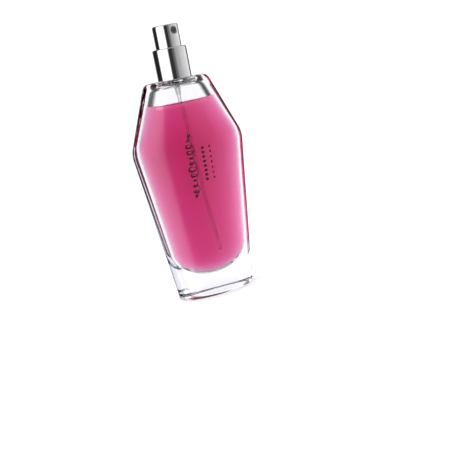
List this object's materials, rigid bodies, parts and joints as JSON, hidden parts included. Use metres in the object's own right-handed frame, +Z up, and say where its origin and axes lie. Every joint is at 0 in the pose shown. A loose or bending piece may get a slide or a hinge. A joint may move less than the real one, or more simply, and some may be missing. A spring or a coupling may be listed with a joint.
{
  "type": "perfume bottle",
  "caption": "Oval waisted glass bottle of pink fragrance with a crimped fine-mist pump, bright metal collar and press-down spray head.",
  "frame": {"origin": "centre of the flat ring that the bottle stands on", "axes": "+Z up along the neck, the wide side along X, the decorated front faces -Y"},
  "size_m": [0.0586, 0.0344, 0.1378],
  "materials": {
    "clear_glass": "polished",
    "pink_liquid": "gloss",
    "natural_plastic": "satin",
    "white_plastic": "satin",
    "black_plastic": "satin",
    "bright_metal": "polished",
    "ferrule_metal": "satin",
    "spring_steel": "satin",
    "ball_steel": "polished",
    "seal_rubber": "matte"
  },
  "bodies": {
    "bottle": {"glass_bottle": "clear_glass", "fragrance_liquid": "pink_liquid", "dip_tube": "natural_plastic", "pump_housing": "natural_plastic", "main_spring": "spring_steel", "stem_seal": "seal_rubber", "turret": "white_plastic", "neck_gasket": "seal_rubber", "crimp_ferrule": "ferrule_metal", "collar_liner": "white_plastic", "collar_sleeve": "bright_metal"},
    "plunger": {"stem": "white_plastic", "valve_pin": "white_plastic", "preload_spring": "spring_steel"},
    "pump_piston": {"piston": "white_plastic"},
    "spray_head": {"actuator_core": "white_plastic", "actuator_shell": "bright_metal", "nozzle_insert": "black_plastic"},
    "check_ball": {"inlet_ball": "ball_steel"}
  },
  "joints": [
    {"name": "spray_stroke", "type": "slide", "parent": "bottle", "child": "plunger", "axis": [0, 0, -1], "range_m": [0, 0.004], "stiffness_N_per_m": 1200, "springref_m": -0.005, "deforming": ["main_spring"]},
    {"name": "piston_lift", "type": "slide", "parent": "plunger", "child": "pump_piston", "axis": [0, 0, 1], "range_m": [0, 0.0006], "deforming": ["preload_spring"]},
    {"name": "head_swivel", "type": "hinge", "parent": "plunger", "child": "spray_head", "pos_m": [0, 0, 0.1347], "axis": [0, 0, 1], "continuous": true},
    {"name": "ball_lift", "type": "slide", "parent": "bottle", "child": "check_ball", "axis": [0, 0, 1], "range_m": [0, 0.0008]}
  ],
  "couplings": [
    {"joint": "piston_lift", "follows": "spray_stroke", "ratio": 0.15}
  ]
}
